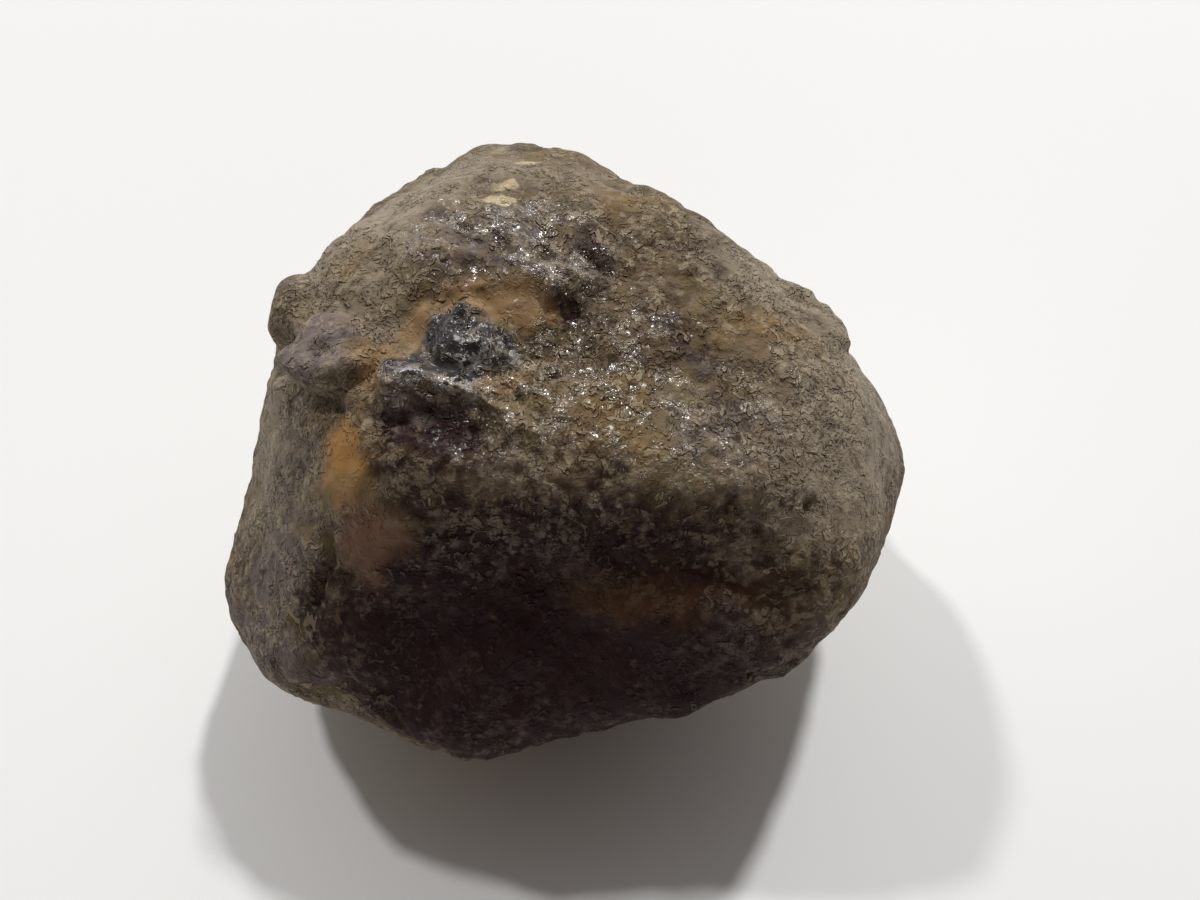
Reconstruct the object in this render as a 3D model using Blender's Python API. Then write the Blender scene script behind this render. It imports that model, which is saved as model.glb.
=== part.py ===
"""A chondrite meteorite: one stone, 88 mm across, lying on its flattest side.

The surface is a star-shaped form around a centre point inside the stone. Broad worn faces
with rounded edges between them give the main shape. Lumps and hollows are raised and sunk
on it, and a seeded ripple gives the uneven surface that lies between them. The lowest part
is cut level, where the stone rests.

Azimuth is measured from +X towards +Y, and elevation from level towards +Z, in degrees.
"""

import math
from typing import NamedTuple

import bmesh
import bpy
import numpy as np

# Driving dimensions, in metres
STONE_WIDTH = 0.088
STONE_DEPTH = 0.078
STONE_HEIGHT = 0.065

# The form's own sizes, in millimetres from its centre point
REST_LEVEL = -32.0
EDGE_SHARPNESS = 14.0

# The net that the form is laid on, and the triangles that are kept
NET_SUBDIVISIONS = 7
KEPT_SHARE = 0.11

# Material: grey-brown weathered crust
CRUST_COLOUR = (0.115, 0.088, 0.062, 1.0)
CRUST_ROUGHNESS = 0.6
CRUST_METALLIC = 0.0

NODE_NAME = "meteorite"
CUTTER_NAME = "rest_cutter"
CUTTER_SIZE = 0.2


class Face(NamedTuple):
    """One broad worn face: where it looks, and its distance from the centre in mm."""

    name: str
    azimuth: float
    elevation: float
    distance: float


class Relief(NamedTuple):
    """One lump or hollow on the stone.

    The outline is an ellipse around the point at azimuth and elevation, with half_length
    along its long side and half_width across it, in mm. turn is the angle in degrees from
    the surface direction nearest to +X, anticlockwise as seen from outside. height is the
    most that it rises or sinks, in mm. edge below 1 gives a steep rim and above 1 a soft
    one, peak below 2 draws the middle to a point, and lean takes height away towards the
    far side, or towards the near side where it is negative.
    """

    name: str
    azimuth: float
    elevation: float
    turn: float
    half_length: float
    half_width: float
    height: float
    edge: float
    peak: float = 2.0
    lean: float = 0.0


class Wave(NamedTuple):
    """One layer of uneven surface: its wavelength and height in mm, and its seed."""

    wavelength: float
    height: float
    seed: int


FACES = [
    Face("back top", 93, 40, 41.2),
    Face("back top left", 118, 37, 45.6),
    Face("left shoulder", 138, 30, 42.2),
    Face("left side upper", 168, 10, 37.2),
    Face("left side", 200, -16, 58.5),
    Face("left front corner", 207, -21, 60.5),
    Face("front left under", 241, -36, 39.9),
    Face("front under", 292, -38, 33.6),
    Face("front right under", 326, -25, 38.2),
    Face("right side", 356, -3, 48.8),
    Face("right side back", 16, 13, 49.6),
    Face("right shoulder", 36, 26, 35.3),
    Face("back right slope", 51, 33, 33.2),
    Face("front", 268, 26, 28.0),
    Face("top front slope", 285, 70, 28.0),
    Face("top", 100, 80, 34.0),
    Face("left front", 213, 33, 34.2),
    Face("right front", 338, 25, 39.5),
    Face("right top", 20, 45, 37.0),
    Face("left top", 150, 45, 39.0),
    Face("front left low", 235, 5, 45.2),
    Face("back", 90, -5, 42.0),
    Face("back right low", 60, -32, 39.5),
    Face("back left low", 125, -28, 40.0),
    Face("right under", 0, -45, 38.5),
    Face("left under", 180, -48, 47.5),
    Face("underside", 0, -90, 36.5),
    Face("underside front", 270, -62, 34.5),
    Face("underside right", 350, -62, 34.5),
    Face("underside back", 90, -62, 34.0),
    Face("underside left", 185, -62, 37.5),
]

LUMPS = [
    Relief("cap", 148, 78, 0, 12.5, 9.0, 1.5, 0.7, lean=0.8),
    Relief("cap back", 100, 69, 0, 14.0, 12.0, 0.7, 1.5),
    Relief("cap right end", 334, 89, 12, 4.8, 3.4, 2.0, 0.7, lean=0.6),
    Relief("cap right knob", 42, 79, -30, 4.5, 3.0, 1.0, 0.8, lean=0.5),
    Relief("cap left end", 179, 66, 40, 6.5, 4.2, 1.1, 0.9, lean=0.4),
    Relief("ridge", 225, 65, -60, 4.6, 3.6, 3.1, 1.0, peak=1.3),
    Relief("ridge right", 237, 68, -60, 3.2, 2.4, 2.3, 1.0, peak=1.5),
    Relief("lip left", 224, 51, 75, 3.2, 2.4, 1.6, 0.7),
    Relief("lip crest", 233, 57, -16, 5.2, 3.2, 1.3, 0.8, lean=0.3),
    Relief("lip right", 249, 56, -48, 3.4, 1.3, 1.1, 0.9),
    Relief("lip end", 258, 52, -75, 2.6, 1.2, 0.9, 0.9),
    Relief("right step", 326, 65, 60, 8.0, 6.5, 0.6, 1.0),
    Relief("left nodule", 191, 47, -12, 7.6, 5.4, 2.0, 0.6, lean=0.7),
    Relief("left nodule end", 180, 36, 60, 5.0, 4.0, 1.5, 0.8),
    Relief("right bump", 6, 35, -50, 6.0, 4.0, 1.6, 1.0),
    Relief("small ridge", 6, 62, 80, 1.6, 0.8, 0.8, 0.8),
    Relief("back knob", 59, 56, 0, 2.6, 2.6, 0.5, 1.0),
    Relief("back knob right", 39, 57, 0, 2.6, 2.4, 0.6, 1.0),
    Relief("front boss right", 300, 9, -15, 9.0, 6.0, 1.0, 1.2),
    Relief("front boss left", 232, 2, 30, 8.0, 6.0, 0.8, 1.2),
    Relief("back shoulder", 70, 20, 20, 12.0, 7.0, 1.6, 1.1, lean=0.5),
    Relief("back boss", 118, 8, -30, 8.0, 6.0, 1.8, 0.9, lean=0.3),
    Relief("back low boss", 85, -28, 10, 9.0, 5.5, 1.4, 0.9, lean=0.4),
    Relief("left back boss", 160, 5, 70, 8.0, 5.0, 1.5, 0.9, lean=0.3),
    Relief("right back boss", 32, -8, 50, 8.0, 5.5, 1.4, 1.0, lean=0.4),
    Relief("under left boss", 200, -35, 60, 8.0, 6.0, 1.3, 1.0),
]

HOLLOWS = [
    Relief("under cap end", 294, 83, 0, 3.0, 1.0, 0.9, 1.2),
    Relief("cap pocket", 23, 81, -38, 2.7, 1.4, 1.2, 1.0),
    Relief("valley", 209, 73, 8, 8.5, 3.4, 0.8, 1.3),
    Relief("valley left", 205, 58, 50, 6.0, 3.8, 1.0, 1.5),
    Relief("valley low", 210, 52, 50, 4.5, 2.8, 0.9, 1.3),
    Relief("ridge groove", 252, 71, 78, 4.6, 1.6, 0.7, 1.2),
    Relief("right hollow", 274, 72, 60, 6.5, 5.0, 0.7, 1.5),
    Relief("ridge gap", 239, 61, -30, 1.8, 0.9, 1.0, 1.0),
    Relief("thumb hollow", 242, 52, -14, 4.4, 3.8, 1.8, 0.9, lean=-0.9),
    Relief("small hollow", 257, 59, 20, 1.8, 1.3, 0.8, 1.0),
    Relief("nodule notch", 181, 30, 20, 3.4, 1.6, 1.2, 1.0),
    Relief("crevice", 223, 18, 80, 4.4, 0.9, 0.8, 0.8),
    Relief("crevice low end", 224, 10, 55, 3.0, 0.9, 0.8, 0.8),
    Relief("right pit", 322, 27, 0, 1.1, 1.0, 0.9, 0.8),
    Relief("low crescent", 241, -10, -30, 2.2, 1.0, 0.9, 0.8),
    Relief("front hollow", 264, 20, 10, 11.0, 8.0, 0.9, 1.5),
    Relief("back thumbprint", 95, 22, 15, 8.5, 6.0, 1.7, 1.4),
    Relief("back low thumbprint", 62, -6, -25, 7.5, 5.5, 1.6, 1.4),
    Relief("back left thumbprint", 138, -14, 30, 7.5, 6.0, 1.6, 1.4),
    Relief("back right thumbprint", 35, 18, 40, 6.5, 5.0, 1.4, 1.4),
    Relief("back pit", 104, -10, 0, 3.0, 2.4, 1.2, 1.0),
    Relief("left thumbprint", 172, 24, 30, 6.0, 4.6, 1.1, 1.4),
    Relief("right thumbprint", 5, -12, 60, 7.0, 5.5, 1.4, 1.4),
    Relief("under thumbprint", 120, -62, 20, 8.0, 6.0, 1.4, 1.4),
]

# Uneven surface: smooth swells, and worn lumps with a crease between them
SWELLS = [Wave(24.0, 0.60, 3), Wave(11.0, 0.34, 5), Wave(6.0, 0.12, 8)]
WORN_LUMPS = [Wave(9.0, 0.25, 31), Wave(4.0, 0.14, 32)]
WORN_LUMP_MEAN = 0.4

# How far the outlines of lumps and hollows wander along and across, and the half width
# above which they wander by the full amount
DRIFT_ALONG = [Wave(9.0, 1.0, 21), Wave(3.5, 0.4, 23)]
DRIFT_ACROSS = [Wave(9.0, 1.0, 22), Wave(3.5, 0.4, 24)]
FULL_DRIFT_HALF_WIDTH = 3.0

WAVES_IN_RIPPLE = 24
RIPPLE_SPREAD = (0.8, 1.3)
RIPPLE_SCALE = 1.6


def direction(azimuth, elevation):
    """Unit vector towards an azimuth and elevation given in degrees."""
    turn = math.radians(azimuth)
    rise = math.radians(elevation)
    level = math.cos(rise)
    return np.array([math.cos(turn) * level, math.sin(turn) * level, math.sin(rise)])


def ripple(points, wave):
    """Uneven value of a wave layer at points: a sum of plane waves in seeded directions."""
    rng = np.random.default_rng(wave.seed)
    headings = rng.normal(size=(WAVES_IN_RIPPLE, 3))
    headings /= np.linalg.norm(headings, axis=1, keepdims=True)
    stretch = rng.uniform(*RIPPLE_SPREAD, (WAVES_IN_RIPPLE, 1))
    phases = rng.uniform(0.0, 2.0 * math.pi, WAVES_IN_RIPPLE)
    turns = 2.0 * math.pi * headings / (wave.wavelength * stretch)
    total = np.sin(points @ turns.T + phases).sum(axis=1)
    return total / (math.sqrt(WAVES_IN_RIPPLE / 2.0) * RIPPLE_SCALE)


def wave_sum(points, waves):
    """Sum of several wave layers at points, each at its own height."""
    return sum(wave.height * ripple(points, wave) for wave in waves)


def worn_radius(directions):
    """Distance from the centre to the rounded meeting of the broad faces, in mm."""
    normals = np.array([direction(face.azimuth, face.elevation) for face in FACES])
    distances = np.array([face.distance for face in FACES])
    reach = np.clip(directions @ normals.T, 0.0, None) / distances
    return (reach**EDGE_SHARPNESS).sum(axis=1) ** (-1.0 / EDGE_SHARPNESS)


def relief_height(directions, points, relief, drift_along, drift_across):
    """Height that one lump, or depth that one hollow, has at each point, in mm."""
    middle = direction(relief.azimuth, relief.elevation)
    middle_point = middle * worn_radius(middle[None])[0]
    east = np.array([1.0, 0.0, 0.0]) - middle[0] * middle
    east /= np.linalg.norm(east)
    north = np.cross(middle, east)
    turn = math.radians(relief.turn)
    long_way = math.cos(turn) * east + math.sin(turn) * north
    cross_way = math.cos(turn) * north - math.sin(turn) * east
    share = min(1.0, relief.half_width / FULL_DRIFT_HALF_WIDTH)
    offset = points - middle_point
    along = (offset @ long_way + share * drift_along) / relief.half_length
    across = (offset @ cross_way + share * drift_across) / relief.half_width
    out = np.clip(np.hypot(along, across), 0.0, 1.0)
    far_side = np.clip((1.0 + math.copysign(1.0, relief.lean) * across) / 2.0, 0.0, 1.0)
    profile = (1.0 - out**relief.peak) ** relief.edge * (1.0 - abs(relief.lean) * far_side)
    same_side = directions @ middle > 0.5
    return np.where(same_side, relief.height * profile, 0.0)


def highest(directions, points, reliefs):
    """Largest height that a list of lumps, or depth that a list of hollows, has."""
    drift_along = wave_sum(points, DRIFT_ALONG)
    drift_across = wave_sum(points, DRIFT_ACROSS)
    total = np.zeros(len(points))
    for relief in reliefs:
        height = relief_height(directions, points, relief, drift_along, drift_across)
        total = np.maximum(total, height)
    return total


def stone_form(directions):
    """Points of the stone's surface along unit directions, in mm from the centre."""
    radius = worn_radius(directions)
    points = directions * radius[:, None]
    raised = highest(directions, points, LUMPS)
    sunk = highest(directions, points, HOLLOWS)
    worn = sum(
        wave.height * (np.abs(ripple(points, wave)) - WORN_LUMP_MEAN) for wave in WORN_LUMPS
    )
    uneven = wave_sum(points, SWELLS) + worn
    return directions * (radius + raised - sunk + uneven)[:, None]


def placed(points):
    """Points in metres, with the rest level at z = 0 and the width and depth centred."""
    low = points.min(axis=0)
    high = points.max(axis=0)
    low[2] = REST_LEVEL
    size = np.array([STONE_WIDTH, STONE_DEPTH, STONE_HEIGHT])
    middle = (low + high) / 2.0
    middle[2] = REST_LEVEL
    return (points - middle) * size / (high - low)


def clear_scene():
    """Remove every object of the scene."""
    for scene_object in list(bpy.data.objects):
        bpy.data.objects.remove(scene_object)


def crust_material():
    """The stone's grey-brown crust."""
    material = bpy.data.materials.new("crust")
    material.use_nodes = True
    shader = material.node_tree.nodes["Principled BSDF"]
    shader.inputs["Base Color"].default_value = CRUST_COLOUR
    shader.inputs["Roughness"].default_value = CRUST_ROUGHNESS
    shader.inputs["Metallic"].default_value = CRUST_METALLIC
    return material


def make_stone():
    """Lay the form on a fine net of triangles, and keep the triangles that shape it."""
    net = bmesh.new()
    bmesh.ops.create_icosphere(net, subdivisions=NET_SUBDIVISIONS, radius=1.0)
    mesh = bpy.data.meshes.new(NODE_NAME)
    net.to_mesh(mesh)
    net.free()
    corners = np.empty(len(mesh.vertices) * 3, dtype=np.float64)
    mesh.vertices.foreach_get("co", corners)
    directions = corners.reshape(-1, 3)
    directions /= np.linalg.norm(directions, axis=1, keepdims=True)
    mesh.vertices.foreach_set("co", placed(stone_form(directions)).ravel())
    mesh.shade_smooth()
    mesh.materials.append(crust_material())
    stone = bpy.data.objects.new(NODE_NAME, mesh)
    bpy.context.scene.collection.objects.link(stone)
    thinning = stone.modifiers.new("keep shape", "DECIMATE")
    thinning.ratio = KEPT_SHARE
    return stone


def make_rest_cutter():
    """A box below z = 0, which takes away what is under the resting level."""
    box = bmesh.new()
    bmesh.ops.create_cube(box, size=CUTTER_SIZE)
    bmesh.ops.translate(box, verts=box.verts, vec=(0.0, 0.0, -CUTTER_SIZE / 2.0))
    mesh = bpy.data.meshes.new(CUTTER_NAME)
    box.to_mesh(mesh)
    box.free()
    cutter = bpy.data.objects.new(CUTTER_NAME, mesh)
    cutter.hide_render = True
    cutter.display_type = "WIRE"
    bpy.context.scene.collection.objects.link(cutter)
    return cutter


def level_base(stone, cutter):
    """Cut the stone level at z = 0."""
    cut = stone.modifiers.new("resting face", "BOOLEAN")
    cut.operation = "DIFFERENCE"
    cut.solver = "EXACT"
    cut.object = cutter


def main():
    """Build the meteorite."""
    clear_scene()
    stone = make_stone()
    level_base(stone, make_rest_cutter())


if __name__ == "__main__":
    main()
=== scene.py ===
"""Looks of a chondrite meteorite: the stone's worn crust, the floor, the light and the camera.

The stone is one surface around a centre point, a radius for each direction. Broad worn faces
with rounded edges give its main shape, named lumps and hollows stand on it, and swells, grains
and pits roughen it. Patches on the same surface say where the crust is grey, orange, dark and
glossy, amber or pale, and the crust's material mixes its finish from them. The dark front and
hollows are in part painted shade, the pale right side is in part painted highlight, light grey
flecks on the ridge are in part painted glints, and the flakes have painted shade beside them
and painted highlight on their tops.

Form sizes are in millimetres from the stone's centre. Azimuth runs from +X towards +Y and
elevation from level towards +Z, in degrees. Everything that reaches Blender is in metres.
"""

import logging
import math
from dataclasses import dataclass, field
from enum import Enum
from functools import cached_property
from typing import Sequence

import bpy
import numpy as np
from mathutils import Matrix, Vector


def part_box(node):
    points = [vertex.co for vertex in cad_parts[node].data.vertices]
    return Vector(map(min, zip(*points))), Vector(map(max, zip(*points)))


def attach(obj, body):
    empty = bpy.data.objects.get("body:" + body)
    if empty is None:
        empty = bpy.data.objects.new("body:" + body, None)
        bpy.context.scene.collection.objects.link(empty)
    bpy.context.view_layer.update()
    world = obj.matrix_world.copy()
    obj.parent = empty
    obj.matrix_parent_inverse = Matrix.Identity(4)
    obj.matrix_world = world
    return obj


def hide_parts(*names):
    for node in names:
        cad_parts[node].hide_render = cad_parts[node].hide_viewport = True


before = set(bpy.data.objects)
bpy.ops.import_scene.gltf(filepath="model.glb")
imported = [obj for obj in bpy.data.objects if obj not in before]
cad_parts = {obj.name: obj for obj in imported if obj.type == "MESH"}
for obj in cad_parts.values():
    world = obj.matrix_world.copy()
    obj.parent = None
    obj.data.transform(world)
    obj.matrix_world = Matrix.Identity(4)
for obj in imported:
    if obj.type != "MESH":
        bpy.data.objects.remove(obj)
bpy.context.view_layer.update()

LOG = logging.getLogger("meteorite")
MM = 0.001
STONE_NODE = "meteorite"
ROOT_BODY = "root"
CAVITY = "crust_cavity"
GRAIN = "crust_grain"

Colour = tuple[float, float, float, float]
Levels = tuple[float, float]
Socket = bpy.types.NodeSocket
MID_GREY = (0.5, 0.5, 0.5)


class Patch(Enum):
    """Kinds of crust. The value is the name of the mesh attribute that holds its share."""

    # Dark crust, in part painted shade: the front away from the lamps, hollows, and the shadow
    # under the cap's end.
    FRONT = "crust_dark_and_shade"
    GREY = "crust_grey"
    VALLEY = "crust_valley"
    RIDGE = "crust_ridge"
    AMBER = "crust_amber"
    BROWN = "crust_brown"
    RUST = "crust_rust"
    CREAM = "crust_cream"
    SMOOTH = "crust_smooth"
    WET = "crust_wet"
    GLOW = "crust_glow"
    # Pale dusty crust, in part a painted highlight on the right face and the right bump, which the
    # lamps light.
    DUST_AND_HIGHLIGHT = "crust_dust_and_highlight"
    CRAG = "crust_crag"


@dataclass(frozen=True)
class Face:
    """One broad worn face: where it looks, and its distance from the centre in mm."""

    name: str
    azimuth: float
    elevation: float
    distance: float


@dataclass(frozen=True)
class Relief:
    """One lump or hollow on the stone.

    The outline is an ellipse around the point at azimuth and elevation, with half_length
    along its long side and half_width across it, in mm. turn is the angle in degrees from
    the surface direction nearest to +X, anticlockwise as seen from outside. height is the
    most that it rises or sinks, in mm. edge below 1 gives a steep rim and above 1 a soft
    one, and lean is the share of the height that is lost towards the far side.
    """

    name: str
    azimuth: float
    elevation: float
    turn: float
    half_length: float
    half_width: float
    height: float
    edge: float
    lean: float = 0.0


@dataclass(frozen=True)
class Crest:
    """A raised line on the stone, or a crease where its height is below 0.

    route has the azimuth and elevation of each place that it runs through. The line fades
    out over left mm on its left side, as seen from outside, and over right mm on its right.
    height is the most that it rises, in mm, and end is the share of it that is left at the
    far end. edge above 1 makes the line sharper.
    """

    name: str
    route: Sequence[tuple[float, float]]
    left: float
    right: float
    height: float
    end: float = 1.0
    edge: float = 1.0


@dataclass(frozen=True)
class Wave:
    """One layer of uneven surface: its wavelength and height in mm, and its seed."""

    wavelength: float
    height: float
    seed: int


@dataclass(frozen=True)
class Spot:
    """One place of a crust patch: its ellipse as in Relief, its share and its edge."""

    patch: Patch
    azimuth: float
    elevation: float
    turn: float
    half_length: float
    half_width: float
    share: float
    edge: float


@dataclass(frozen=True)
class Grains:
    """Seeded grains or pits, one to a cell of a lattice.

    spacing is the cell's side and radius the grain's radius, in mm. height is how far it
    stands out, or sinks in where it is negative. kept is the share of cells that have one.
    """

    spacing: float
    radius: float
    height: float
    kept: float
    seed: int


FACES: Sequence[Face] = (
    Face("back top", 93, 40, 42.6),
    Face("back top left", 118, 37, 46.4),
    Face("left shoulder", 138, 30, 42.8),
    Face("left side upper", 168, 14, 36.8),
    Face("left side", 200, -16, 60.5),
    Face("left front corner", 207, -21, 62.0),
    Face("front left under", 241, -36, 38.6),
    Face("front under", 292, -38, 33.0),
    Face("front right under", 326, -25, 37.6),
    Face("right side", 356, -3, 49.6),
    Face("right side back", 16, 13, 51.2),
    Face("right shoulder", 36, 26, 35.7),
    Face("back right slope", 51, 33, 33.2),
    Face("front", 268, 26, 28.0),
    Face("top front slope", 285, 70, 28.0),
    Face("top", 100, 80, 34.0),
    Face("left front", 213, 33, 34.2),
    Face("right front", 338, 25, 39.5),
    Face("right top", 20, 45, 37.4),
    Face("left top", 150, 45, 39.0),
    Face("front left low", 235, 5, 45.2),
    Face("back", 90, -5, 42.0),
    Face("back right low", 60, -32, 39.5),
    Face("back left low", 125, -28, 40.0),
    Face("right under", 0, -45, 38.5),
    Face("left under", 180, -48, 47.5),
    Face("underside", 0, -90, 36.5),
    Face("underside front", 270, -62, 34.5),
    Face("underside right", 350, -62, 34.5),
    Face("underside back", 90, -62, 34.0),
    Face("underside left", 185, -62, 37.5),
)

LUMPS: Sequence[Relief] = (
    Relief("cap", 148, 78, 0, 12.5, 9.0, 1.5, 0.7, lean=0.8),
    Relief("cap back", 100, 69, 0, 14.0, 12.0, 0.7, 1.5),
    Relief("cap right end", 334, 89, 12, 4.8, 3.4, 2.0, 0.7, lean=0.6),
    Relief("cap right knob", 42, 79, -30, 4.5, 3.0, 1.0, 0.8, lean=0.5),
    Relief("cap left end", 179, 66, 40, 6.5, 4.2, 1.1, 0.9, lean=0.4),
    Relief("ridge", 231, 66, -50, 4.6, 3.2, 0.5, 1.0),
    Relief("lip left", 220, 54, 75, 3.4, 2.6, 1.3, 0.8),
    Relief("lip crest", 234, 58, -10, 5.0, 2.4, 0.5, 0.9),
    Relief("right step", 326, 65, 60, 8.0, 6.5, 0.6, 1.0),
    Relief("left nodule", 195, 44, -12, 6.2, 4.8, 2.8, 0.6, lean=0.4),
    Relief("left nodule end", 178, 38, 60, 4.8, 4.0, 2.7, 0.8),
    Relief("right bump", 6, 35, -50, 6.5, 4.2, 1.6, 0.8),
    Relief("bead", 270.8, 69.5, 0, 0.95, 0.95, 0.8, 0.6),
    Relief("back knob", 59, 56, 0, 2.6, 2.6, 0.5, 1.0),
    Relief("front boss right", 300, 9, -15, 9.0, 6.0, 1.0, 1.2),
    Relief("front boss left", 232, 2, 30, 8.0, 6.0, 0.8, 1.2),
    Relief("back shoulder", 70, 20, 20, 12.0, 7.0, 1.6, 1.1, lean=0.5),
    Relief("back boss", 118, 8, -30, 8.0, 6.0, 1.8, 0.9, lean=0.3),
    Relief("back low boss", 85, -28, 10, 9.0, 5.5, 1.4, 0.9, lean=0.4),
    Relief("left back boss", 160, 5, 70, 8.0, 5.0, 1.5, 0.9, lean=0.3),
    Relief("right back boss", 32, -8, 50, 8.0, 5.5, 1.4, 1.0, lean=0.4),
    Relief("under left boss", 200, -35, 60, 8.0, 6.0, 1.3, 1.0),
)

HOLLOWS: Sequence[Relief] = (
    Relief("cap pocket", 23, 81, -38, 2.7, 1.4, 1.2, 1.0),
    Relief("valley", 209, 73, 8, 8.5, 3.4, 0.5, 1.3),
    Relief("valley left", 205, 58, 50, 6.0, 3.8, 1.0, 1.5),
    Relief("valley low", 210, 52, 50, 4.5, 2.8, 0.9, 1.3),
    Relief("ridge groove", 255, 69, 78, 4.6, 2.2, 0.7, 1.2),
    Relief("right hollow", 274, 72, 60, 6.5, 5.0, 0.7, 1.5),
    Relief("thumb hollow", 236, 51.5, -20, 6.0, 3.6, 1.2, 1.2),
    Relief("small hollow", 257, 59, 20, 1.8, 1.3, 0.4, 1.0),
    Relief("nodule notch", 186, 35, 20, 4.0, 2.0, 2.2, 1.0),
    Relief("right pit", 322, 27, 0, 1.1, 1.0, 0.9, 0.8),
    Relief("low crescent", 241, -10, -30, 2.2, 1.0, 0.9, 0.8),
    Relief("front hollow", 264, 20, 10, 11.0, 8.0, 0.9, 1.5),
    Relief("back thumbprint", 95, 22, 15, 8.5, 6.0, 1.7, 1.4),
    Relief("back low thumbprint", 62, -6, -25, 7.5, 5.5, 1.6, 1.4),
    Relief("back left thumbprint", 138, -14, 30, 7.5, 6.0, 1.6, 1.4),
    Relief("back right thumbprint", 35, 18, 40, 6.5, 5.0, 1.4, 1.4),
    Relief("back pit", 104, -10, 0, 3.0, 2.4, 1.2, 1.0),
    Relief("left thumbprint", 172, 24, 30, 6.0, 4.6, 1.1, 1.4),
    Relief("right thumbprint", 5, -12, 60, 7.0, 5.5, 1.4, 1.4),
    Relief("under thumbprint", 120, -62, 20, 8.0, 6.0, 1.4, 1.4),
)

CRESTS: Sequence[Crest] = (
    Crest(
        "ridge crest",
        ((207, 70), (219, 71), (230, 70), (241, 68), (247, 66)),
        1.8, 5.2, 2.5, 0.6, 1.2,
    ),
    Crest("ridge left edge", ((208, 71), (214, 67), (221, 62), (222, 59)), 2.4, 1.6, 0.7, 0.6),
    Crest(
        "cap front step",
        ((172, 61), (188, 66), (199, 74), (208, 81), (252, 84), (308, 84)),
        5.0, 2.6, 0.4,
    ),
    Crest("cap end step", ((252, 83), (276, 84), (300, 84), (325, 82)), 3.4, 1.2, 1.0),
    Crest("cap end foot", ((258, 83), (284, 82), (312, 81)), 0.8, 2.0, -0.4),
    Crest(
        "cap right step",
        ((76, 74), (62, 76), (44, 78), (24, 79), (6, 80), (340, 83)),
        1.2, 4.0, 0.9,
    ),
    Crest("cap pocket line", ((54, 84), (41, 82), (24, 80), (8, 78)), 1.4, 0.8, -0.5),
    Crest(
        "lip",
        ((217, 56), (227, 57), (236, 58), (246, 58), (252, 57), (257, 54), (260, 51)),
        2.4, 1.0, 1.0,
    ),
    Crest("under lip", ((231, 55), (237, 56), (245, 56), (251, 55), (256, 52)), 0.9, 5.5, -0.25),
    Crest("lobe edge", ((213, 57), (216, 54), (222, 51), (229, 49)), 1.0, 3.0, 0.4),
    Crest(
        "nodule edge",
        ((186, 38), (193, 39), (201, 41), (207, 44), (208, 48), (206, 52)),
        3.0, 1.0, 0.9,
    ),
    Crest(
        "nodule foot",
        ((184, 34), (188, 35), (195, 36), (203, 39), (209, 43), (211, 48)),
        0.8, 3.0, -0.7,
    ),
    Crest("glossy streak", ((325, 77), (315, 76), (304, 75), (295, 73)), 0.5, 0.6, 0.5),
    Crest("small ridge", ((10, 62), (6, 63), (4, 63)), 0.7, 0.9, 0.8),
    Crest("small hollow rim", ((252, 61), (256, 61), (260, 60)), 0.6, 1.6, -0.5),
    Crest(
        "crevice",
        ((221, 23), (223, 20), (225, 16), (224, 11), (225, 8), (222, 4)),
        0.9, 0.7, -0.9, 0.8, 0.8,
    ),
    Crest("slope wrinkle low", ((179, 42), (174, 49), (165, 53), (151, 54)), 0.9, 0.7, 0.30),
    Crest("slope wrinkle mid", ((184, 50), (180, 54), (174, 57)), 0.8, 0.6, 0.30),
    Crest("slope wrinkle high", ((174, 54), (171, 57), (168, 59), (160, 61)), 0.8, 0.6, 0.28),
    Crest("bump edge", ((12, 41), (6, 41), (356, 41), (346, 40)), 2.6, 1.2, 0.4),
)

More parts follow.
